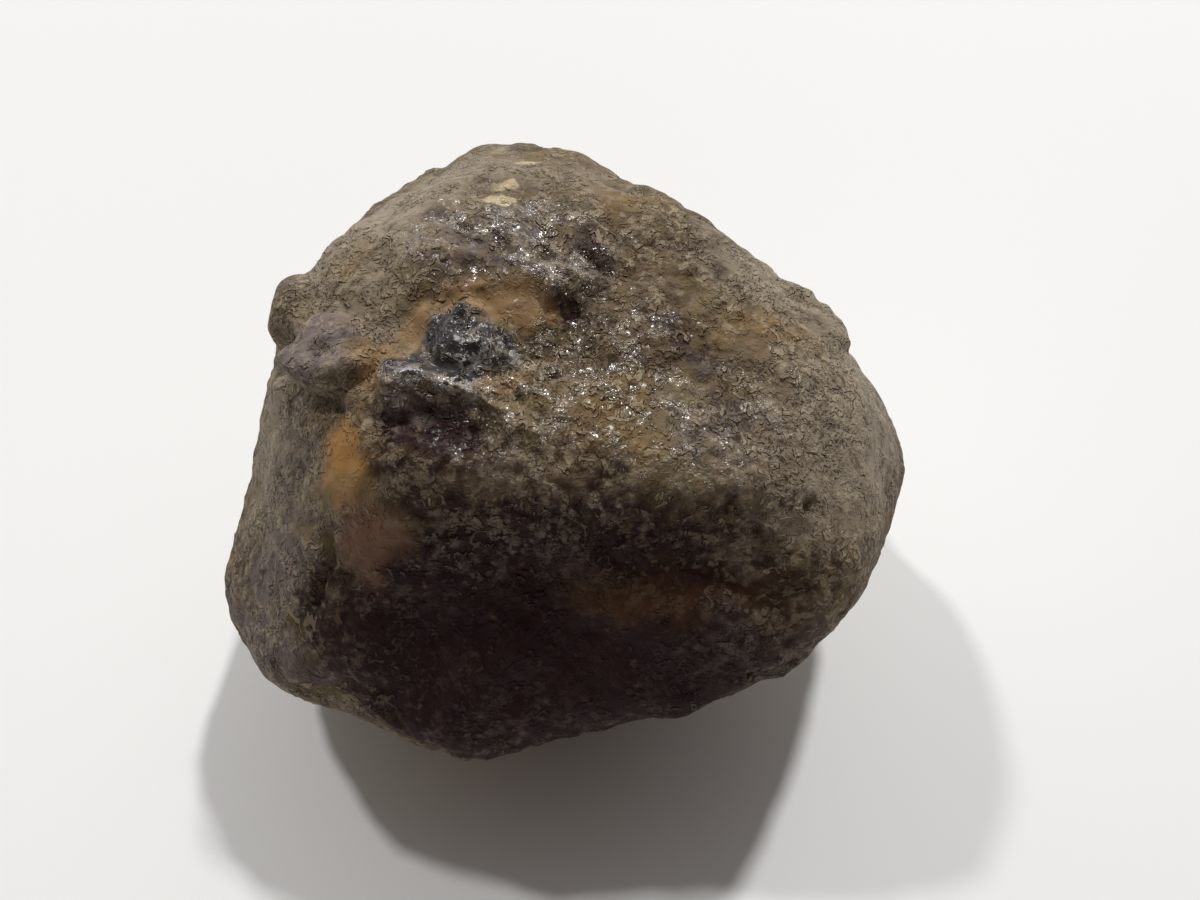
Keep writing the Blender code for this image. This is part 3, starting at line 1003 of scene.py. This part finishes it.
@dataclass(frozen=True)
class CrustFinish:
    """The worn crust: olive brown with darker and paler places, some of them painted shade and
    painted highlight, and wet chips that glint.

    Levels are where a share is 0 and where it is 1. A painted patch starts at paint_start and
    covers the crust at its own level. Heights of bumps and sizes of blotches are in mm. The
    chips' outlines are bent by up to chip_bend mm, and their slopes are seen at the strength
    dry_chip_slope in the crust and wet_chip_slope in the wet film.
    """

    name: str = "worn_crust"
    roughness: float = 0.7
    specular: float = 0.15
    film_roughness: float = 0.24
    film_ior: float = 2.4
    brown: Colour = (0.175, 0.121, 0.070, 1.0)
    olive: Colour = (0.198, 0.146, 0.070, 1.0)
    mauve: Colour = (0.160, 0.118, 0.080, 1.0)
    shade: Colour = (0.085, 0.052, 0.032, 1.0)
    # Pale tops of grains and flakes: pale tan specks, in part painted highlight on the lit side.
    pale: Colour = (0.410, 0.330, 0.225, 1.0)
    # Pale dusty colour, also used as painted highlight on the lit right side.
    dust_and_highlight: Colour = (0.322, 0.268, 0.196, 1.0)
    cream: Colour = (0.560, 0.450, 0.270, 1.0)
    # Light grey metallic flecks on the ridge, in part painted glints that stand in for its
    # specular sparkle.
    metal_and_glint: Colour = (0.520, 0.510, 0.500, 1.0)
    # Near-black: painted shade in the gaps beside the flakes, and the colour of the pits.
    gap_shade_and_pit_dark: Colour = (0.026, 0.016, 0.011, 1.0)
    paints: Sequence[Paint] = (
        # Pale dusty patch, in part painted highlight.
        Paint(Patch.DUST_AND_HIGHLIGHT, dust_and_highlight, 1.60),
        Paint(Patch.GLOW, (0.262, 0.163, 0.062, 1.0), 1.35),
        # Dark colour of the front, in part painted shade on the side away from the lamps and in
        # hollows.
        Paint(Patch.FRONT, (0.029, 0.0112, 0.0118, 1.0), 1.15),
        Paint(Patch.GREY, (0.188, 0.150, 0.136, 1.0), 1.15),
        Paint(Patch.VALLEY, (0.325, 0.205, 0.098, 1.0), 1.20),
        Paint(Patch.BROWN, (0.215, 0.120, 0.078, 1.0), 1.55),
        Paint(Patch.RUST, (0.064, 0.028, 0.010, 1.0), 1.25),
        Paint(Patch.AMBER, (0.450, 0.240, 0.076, 1.0), 1.5),
        Paint(Patch.RIDGE, (0.032, 0.027, 0.030, 1.0), 1.15),
    )
    paint_start: float = 0.6
    olive_places: Blotches = Blotches(9.0, 4.0, (0.44, 0.60))
    mauve_places: Blotches = Blotches(7.0, 4.0, (0.52, 0.66))
    shaded_places: Blotches = Blotches(2.6, 5.0, (0.50, 0.74))
    dusty_places: Blotches = Blotches(16.0, 5.0, (0.46, 0.66))
    pale_highlight_places: Blotches = Blotches(1.4, 2.0, (0.42, 0.62))
    glossy_places: Blotches = Blotches(2.2, 3.0, (0.44, 0.52))
    ragged_edges: Blotches = Blotches(1.8, 4.0)
    flecks: Blotches = Blotches(1.0, 4.0, (0.49, 0.54))
    shade_share: float = 0.7
    dust_share: float = 0.6
    pit_dark_share: float = 0.6
    gap_shade_share: float = 0.75
    pale_highlight_share: float = 0.6
    highlight_in_shade: float = 0.12
    cream_levels: Levels = (1.08, 1.22)
    metal_glint_levels: Levels = (0.15, 0.5)
    chips: Sequence[Chips] = (
        Chips(1.25, 0.7, 0.24),
        Chips(0.8, 0.85, 0.25),
        Chips(0.5, 0.9, 0.30),
    )
    chip_crowds: Blotches = Blotches(4.0, 3.0, (0.30, 0.70))
    chip_edge: Levels = (0.62, 0.50)
    chip_fade: float = 0.04
    chip_bend_size: float = 0.9
    chip_bend: float = 1.0
    crag_chance: float = 0.16
    ridge_steepness: float = 0.4
    curls: Blotches = Blotches(1.15, 2.0, swirl=1.2)
    curl_crowds: Blotches = Blotches(5.0, 3.0, (0.36, 0.60))
    curls_elsewhere: float = 0.15
    no_curl: float = 0.5
    flake_levels: Levels = (0.50, 0.61)
    flake_highlight_levels: Levels = (0.55, 0.60)
    flake_shade_levels: Levels = (0.47, 0.36)
    flake_height: float = 0.36
    mottle: Blotches = Blotches(1.3, 3.0)
    mottle_height: float = 0.50
    dry_chip_slope: float = 0.55
    wet_chip_slope: float = 1.0
    ridge_gloss: float = 0.3
    faint_gloss: float = 0.03

    def build(self) -> bpy.types.Material:
        """Make the material from the surface's patches, its cavities and layers of noise.

        Returns:
            The material.
        """
        material = bpy.data.materials.new(self.name)
        bench = NodeBench(material)
        slopes, chipped = self.chip_layers(bench)
        raised = bench.math("MAXIMUM", chipped, bench.share(GRAIN))
        curls = self.curled_flakes(bench)
        base_normal, wet_normal = self.bumps(bench, slopes, curls)
        shader = bench.add(
            "ShaderNodeBsdfPrincipled",
            {
                "Base Color": self.colour(bench, raised, curls),
                "Roughness": self.roughness,
                "Specular IOR Level": self.specular,
                "Normal": base_normal,
                "Coat Weight": self.wetness(bench, raised),
                "Coat Roughness": self.film_roughness,
                "Coat IOR": self.film_ior,
                "Coat Normal": wet_normal,
            },
        )
        bench.add("ShaderNodeOutputMaterial", {"Surface": shader.outputs[0]})
        return material

    def chip_layers(self, bench: NodeBench) -> tuple[Socket, Socket]:
        """Chips of several sizes in uneven crowds, with ragged outlines.

        A cell's surface rises by its offset from the cell's middle along the cell's own
        random direction, so that it is a flat chip with a tilt, steeper on the glossy ridge.

        Args:
            bench: the material's nodes.

        Returns:
            The height of the chips in metres, and 1 on a chip and 0 away from it.
        """
        inputs = {"Vector": bench.place, "Scale": 1.0 / (self.chip_bend_size * MM)}
        bend = bench.add("ShaderNodeTexNoise", inputs).outputs["Color"]
        shift = bench.vector("MULTIPLY", bend, (self.chip_bend * MM,) * 3)
        moved = bench.vector("ADD", bench.place, shift)
        crowd = bench.blotched(self.chip_crowds)
        craggy = bench.math("MULTIPLY", bench.patch(Patch.CRAG), self.crag_chance)
        slopes = []
        layers = []
        for layer in self.chips:
            inputs = {"Vector": moved, "Scale": 1.0 / (layer.size * MM)}
            cells = bench.add("ShaderNodeTexVoronoi", inputs)
            offset = bench.vector("SUBTRACT", moved, cells.outputs["Position"])
            way = bench.vector("SUBTRACT", cells.outputs["Color"], MID_GREY)
            tilt = bench.vector("DOT_PRODUCT", offset, way)
            parts = bench.add("ShaderNodeSeparateColor", {0: cells.outputs["Color"]})
            chance = bench.math("MULTIPLY", parts.outputs[2], crowd)
            chance = bench.math("ADD", chance, craggy)
            chip = bench.between(chance, (layer.kept, layer.kept + self.chip_fade))
            inside = bench.between(cells.outputs["Distance"], self.chip_edge)
            chip = bench.math("MULTIPLY", chip, inside)
            steep = bench.math("MULTIPLY", chip, layer.tilt)
            slopes.append(bench.math("MULTIPLY", tilt, steep, clamp=False))
            layers.append(chip)
        height = slopes[0]
        total = layers[0]
        for slope, chip in zip(slopes[1:], layers[1:]):
            height = bench.math("ADD", height, slope, clamp=False)
            total = bench.math("MAXIMUM", total, chip)
        rough = self.roughened(bench)
        inputs = (bench.patch(Patch.RIDGE), self.ridge_steepness, rough)
        steep = bench.math("MULTIPLY_ADD", *inputs, clamp=False)
        height = bench.math("MULTIPLY", height, steep, clamp=False)
        return height, bench.math("MULTIPLY", total, rough)

    def curled_flakes(self, bench: NodeBench) -> Socket:
        """Level of the curled flakes: a swirled noise, held back between their crowds.

        The level is 0.5 where there are none, more on a flake and less in a gap beside it.

        Args:
            bench: the material's nodes.

        Returns:
            The level, from 0 to 1.
        """
        swirl = bench.noise(self.curls)
        crowd = bench.blotched(self.curl_crowds)
        crowd = bench.math("MULTIPLY", crowd, self.roughened(bench))
        least = self.curls_elsewhere
        crowd = bench.math("MULTIPLY_ADD", crowd, 1.0 - least, least, clamp=False)
        level = bench.math("SUBTRACT", swirl, self.no_curl, clamp=False)
        return bench.math("MULTIPLY_ADD", level, crowd, self.no_curl, clamp=False)

    def roughened(self, bench: NodeBench) -> Socket:
        """Where the crust isn't worn smooth: 1 less the share of the smooth patches."""
        return bench.math("SUBTRACT", 1.0, bench.patch(Patch.SMOOTH))

    def wetness(self, bench: NodeBench, raised: Socket) -> Socket:
        """Share of the wet gloss: most on the raised grains of the wet patches and the ridge.

        Args:
            bench: the material's nodes.
            raised: share of the raised grains.

        Returns:
            The share.
        """
        gloss = bench.blotched(self.glossy_places)
        gloss = bench.math("MULTIPLY", gloss, bench.patch(Patch.WET))
        gloss = bench.math("MULTIPLY", gloss, raised)
        least = self.ridge_gloss
        ridge = bench.math("MULTIPLY_ADD", raised, 1.0 - least, least, clamp=False)
        ridge = bench.math("MULTIPLY", ridge, bench.patch(Patch.RIDGE))
        faint = bench.math("MULTIPLY", raised, self.faint_gloss)
        return bench.math("MAXIMUM", bench.math("MAXIMUM", gloss, ridge), faint)

    def colour(self, bench: NodeBench, raised: Socket, curls: Socket) -> Socket:
        """Mix the crust's colour.

        The blotches come first, then the painted patches with ragged edges, among them painted
        shade on the dark front and in hollows and painted highlight on the pale right side, the
        cream flecks, light grey flecks on the ridge that are in part painted glints, painted shade
        in the gaps beside the flakes, painted highlight on the tops of grains and flakes away from
        the dark front, and darker colour in the pits.

        Args:
            bench: the material's nodes.
            raised: share of the raised grains.
            curls: level of the curled flakes.

        Returns:
            The colour.
        """
        colour = bench.mix(bench.blotched(self.olive_places), self.brown, self.olive)
        colour = bench.mix(bench.blotched(self.mauve_places), colour, self.mauve)
        shade = bench.blotched(self.shaded_places)
        colour = bench.mix(bench.math("MULTIPLY", shade, self.shade_share), colour, self.shade)
        dry = bench.math("SUBTRACT", 1.0, bench.patch(Patch.WET))
        dusty = bench.math("MULTIPLY", bench.blotched(self.dusty_places), dry)
        colour = bench.mix(bench.math("MULTIPLY", dusty, self.dust_share), colour, self.dust_and_highlight)
        ragged = bench.noise(self.ragged_edges)
        for paint in self.paints:
            share = bench.math("ADD", bench.patch(paint.patch), ragged, clamp=False)
            share = bench.between(share, (self.paint_start, paint.full))
            colour = bench.mix(share, colour, paint.colour)
        fleck = bench.noise(self.flecks)
        share = bench.math("ADD", bench.patch(Patch.CREAM), fleck, clamp=False)
        colour = bench.mix(bench.between(share, self.cream_levels), colour, self.cream)
        # Light grey flecks on the ridge: metallic grains and painted glints.
        metal_glint = bench.math("MULTIPLY", bench.patch(Patch.RIDGE), bench.patch(Patch.CRAG))
        metal_glint = bench.between(metal_glint, self.metal_glint_levels)
        metal_glint = bench.math("MULTIPLY", metal_glint, bench.between(fleck, self.flecks.levels))
        colour = bench.mix(metal_glint, colour, self.metal_and_glint)
        # Painted shade in the gaps beside the flakes.
        gap = bench.math("MULTIPLY", bench.between(curls, self.flake_shade_levels), self.gap_shade_share)
        colour = bench.mix(gap, colour, self.gap_shade_and_pit_dark)
        # Painted highlight: the tops of grains and flakes made pale, kept mostly off the dark,
        # shaded front.
        light = bench.math("MULTIPLY", bench.blotched(self.pale_highlight_places), raised)
        light = bench.math("MAXIMUM", light, bench.between(curls, self.flake_highlight_levels))
        lit_side = bench.math("SUBTRACT", 1.0, bench.patch(Patch.FRONT))
        light = bench.math("MULTIPLY", light, bench.math("ADD", lit_side, self.highlight_in_shade))
        colour = bench.mix(bench.math("MULTIPLY", light, self.pale_highlight_share), colour, self.pale)
        # Darker colour in the pits.
        sunk = bench.math("MULTIPLY", bench.share(CAVITY), self.pit_dark_share)
        return bench.mix(sunk, colour, self.gap_shade_and_pit_dark)

    def bumps(self, bench: NodeBench, slopes: Socket, curls: Socket) -> tuple[Socket, Socket]:
        """Curled flakes, mottles and chips finer than the mesh, as bumps of the shading.

        The crust has all three. The wet film has the flakes and steeper chips alone.

        Args:
            bench: the material's nodes.
            slopes: height of the chips in metres.
            curls: level of the curled flakes.

        Returns:
            The bumped normal of the crust, and of the wet film on its chips.
        """
        flakes = bench.add(
            "ShaderNodeBump",
            {
                "Height": bench.between(curls, self.flake_levels),
                "Strength": 1.0,
                "Distance": self.flake_height * MM,
            },
        )
        mottle = bench.add(
            "ShaderNodeBump",
            {
                "Height": bench.noise(self.mottle),
                "Strength": self.roughened(bench),
                "Distance": self.mottle_height * MM,
                "Normal": flakes.outputs[0],
            },
        )
        normals = []
        for slope, under in ((self.dry_chip_slope, mottle), (self.wet_chip_slope, flakes)):
            inputs = {"Height": slopes, "Strength": 1.0, "Distance": slope}
            inputs["Normal"] = under.outputs[0]
            normals.append(bench.add("ShaderNodeBump", inputs).outputs[0])
        return normals[0], normals[1]


@dataclass(frozen=True)
class FloorFinish:
    """Matt white board."""

    name: str = "white_board"
    colour: Colour = (0.86, 0.86, 0.845, 1.0)
    roughness: float = 0.5

    def build(self) -> bpy.types.Material:
        """Make the material.

        Returns:
            The material.
        """
        material = bpy.data.materials.new(self.name)
        bench = NodeBench(material)
        inputs = {"Base Color": self.colour, "Roughness": self.roughness}
        shader = bench.add("ShaderNodeBsdfPrincipled", inputs)
        bench.add("ShaderNodeOutputMaterial", {"Surface": shader.outputs[0]})
        return material


@dataclass
class Meteorite:
    """The stone: one closed mesh in the place of the CAD solid.

    inset is how far it stays inside the solid's box, in metres, and cavity_depth the depth
    in mm from which a pit is darkened in full.
    """

    name: str = "stone_crust"
    grid_steps: int = 128
    inset: float = 0.02 * MM
    cavity_depth: float = 0.22
    form: StoneForm = field(default_factory=StoneForm)
    finish: CrustFinish = field(default_factory=CrustFinish)
    spots: Sequence[Spot] = SPOTS

    def build(self) -> bpy.types.Object:
        """Make the stone's mesh and dress it.

        Returns:
            The stone.
        """
        directions, quads = BallGrid(self.grid_steps).build()
        ground = self.form.ground(directions)
        shares = self.form.patches(ground, self.spots)
        points, fine, grain = self.form.surface(ground, shares[Patch.SMOOTH], shares[Patch.CRAG])
        low, high = (np.array(corner, dtype=float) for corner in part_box(STONE_NODE))
        low[:2] += self.inset
        high -= self.inset
        points = self.form.placed(points, low, high)
        mesh = bpy.data.meshes.new(self.name)
        mesh.from_pydata(points.tolist(), [], quads.tolist())
        mesh.shade_smooth()
        for patch, share in shares.items():
            self.write_share(mesh, patch.value, share)
        self.write_share(mesh, CAVITY, np.clip(-fine / self.cavity_depth, 0.0, 1.0))
        self.write_share(mesh, GRAIN, grain)
        mesh.materials.append(self.finish.build())
        mesh.update()
        stone = bpy.data.objects.new(self.name, mesh)
        bpy.context.scene.collection.objects.link(stone)
        return stone

    def write_share(self, mesh: bpy.types.Mesh, name: str, share: np.ndarray) -> None:
        """Store one number for each vertex as a mesh attribute."""
        layer = mesh.attributes.new(name, "FLOAT", "POINT")
        layer.data.foreach_set("value", share.astype(np.float32))


@dataclass(frozen=True)
class Lamp:
    """A round lamp: where it stands as seen from the stone, its width and its power."""

    name: str
    azimuth: float
    elevation: float
    distance: float
    width: float
    power: float

    def build(self, target: Vector) -> bpy.types.Object:
        """Hang the lamp and turn it to its target.

        Args:
            target: the place that it lights, in metres.

        Returns:
            The lamp.
        """
        data = bpy.data.lights.new(self.name, "AREA")
        data.shape = "DISK"
        data.size = self.width
        data.energy = self.power
        lamp = bpy.data.objects.new(self.name, data)
        way = Vector(direction(self.azimuth, self.elevation))
        lamp.location = target + way * self.distance
        lamp.rotation_euler = way.to_track_quat("Z", "Y").to_euler()
        bpy.context.scene.collection.objects.link(lamp)
        return lamp


@dataclass
class Studio:
    """The pale floor, two lamps behind the stone and a weak light from all around.

    front_levels are the Y of a direction where the light is the dim front one in full, and
    where it is the wall's and ceiling's in full.
    """

    floor_half_width: float = 2.0
    floor_drop: float = 0.02 * MM
    wall_light: float = 1.45
    ceiling_light: float = 0.15
    backdrop: Colour = (0.80, 0.80, 0.79, 1.0)
    front_light: Colour = (0.050, 0.026, 0.015, 1.0)
    front_levels: Levels = (-0.50, 0.60)
    lamps: Sequence[Lamp] = (
        Lamp("lamp_right", 60.0, 60.0, 2.5, 0.191, 32.2),
        Lamp("lamp_left", 140.0, 57.0, 2.5, 0.191, 19.0),
    )

    def build(self, target: Vector) -> bpy.types.Object:
        """Lay the floor and set the lights.

        Args:
            target: the place that the lamps light, in metres.

        Returns:
            The floor.
        """
        for lamp in self.lamps:
            lamp.build(target)
        self.light_room()
        half = self.floor_half_width
        sides = ((-half, -half), (half, -half), (half, half), (-half, half))
        corners = [(across, along, -self.floor_drop) for across, along in sides]
        mesh = bpy.data.meshes.new("floor")
        mesh.from_pydata(corners, [], [(0, 1, 2, 3)])
        mesh.materials.append(FloorFinish().build())
        floor = bpy.data.objects.new("floor", mesh)
        bpy.context.scene.collection.objects.link(floor)
        return floor

    def light_room(self) -> None:
        """Weak light from the walls, less from the ceiling and from the viewer's side.

        The strength is the wall's own at level, falls evenly with height to the ceiling's,
        and is dimmed where the direction points to the photograph's viewer. Where the
        surroundings themselves are in the picture, past the floor, they are plain and pale.
        """
        world = bpy.data.worlds.new("room_light")
        bench = NodeBench(world)
        way = bench.add("ShaderNodeTexCoord").outputs["Generated"]
        parts = bench.add("ShaderNodeSeparateXYZ", {0: way})
        inputs = {
            "Value": parts.outputs["Z"],
            "To Min": self.wall_light,
            "To Max": self.ceiling_light,
        }
        strength = bench.add("ShaderNodeMapRange", inputs).outputs[0]
        white = bench.add("ShaderNodeCombineColor", dict.fromkeys(range(3), strength))
        lit = bench.between(parts.outputs["Y"], self.front_levels)
        colour = bench.mix(lit, self.front_light, white.outputs[0])
        seen = bench.add("ShaderNodeLightPath").outputs["Is Camera Ray"]
        colour = bench.mix(seen, colour, self.backdrop)
        background = bench.add("ShaderNodeBackground", {"Color": colour})
        bench.add("ShaderNodeOutputWorld", {"Surface": background.outputs[0]})
        bpy.context.scene.world = world


@dataclass
class PhotoCamera:
    """The photograph's view: close, wide, from the front and well above."""

    azimuth: float = -90.0
    elevation: float = 50.0
    distance: float = 129.0 * MM
    aim: tuple[float, float, float] = (4.5 * MM, -2.6 * MM, 31.9 * MM)
    lens: float = 30.0
    sensor: float = 36.0
    nearest: float = 5.0 * MM
    tones: str = "Standard"

    def build(self) -> bpy.types.Object:
        """Set up the camera and its tones, and make it the scene's own.

        Returns:
            The camera.
        """
        data = bpy.data.cameras.new("photo_camera")
        data.sensor_width = self.sensor
        data.lens = self.lens
        data.clip_start = self.nearest
        camera = bpy.data.objects.new("photo_camera", data)
        way = Vector(direction(self.azimuth, self.elevation))
        camera.location = Vector(self.aim) + way * self.distance
        camera.rotation_euler = way.to_track_quat("Z", "Y").to_euler()
        bpy.context.scene.collection.objects.link(camera)
        bpy.context.scene.camera = camera
        bpy.context.scene.view_settings.view_transform = self.tones
        return camera


def main() -> None:
    """Build the camera, the studio and the stone in order."""
    logging.basicConfig(level=logging.INFO, format="%(name)s: %(message)s")
    camera = PhotoCamera()
    camera.build()
    LOG.info("camera at %.0f degrees above level", camera.elevation)
    studio = Studio()
    studio.build(Vector(camera.aim))
    LOG.info("floor and %d lamps in place", len(studio.lamps))
    stone = Meteorite().build()
    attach(stone, ROOT_BODY)
    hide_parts(STONE_NODE)
    LOG.info("%s has %d faces", stone.name, len(stone.data.polygons))


if __name__ == "__main__":
    main()
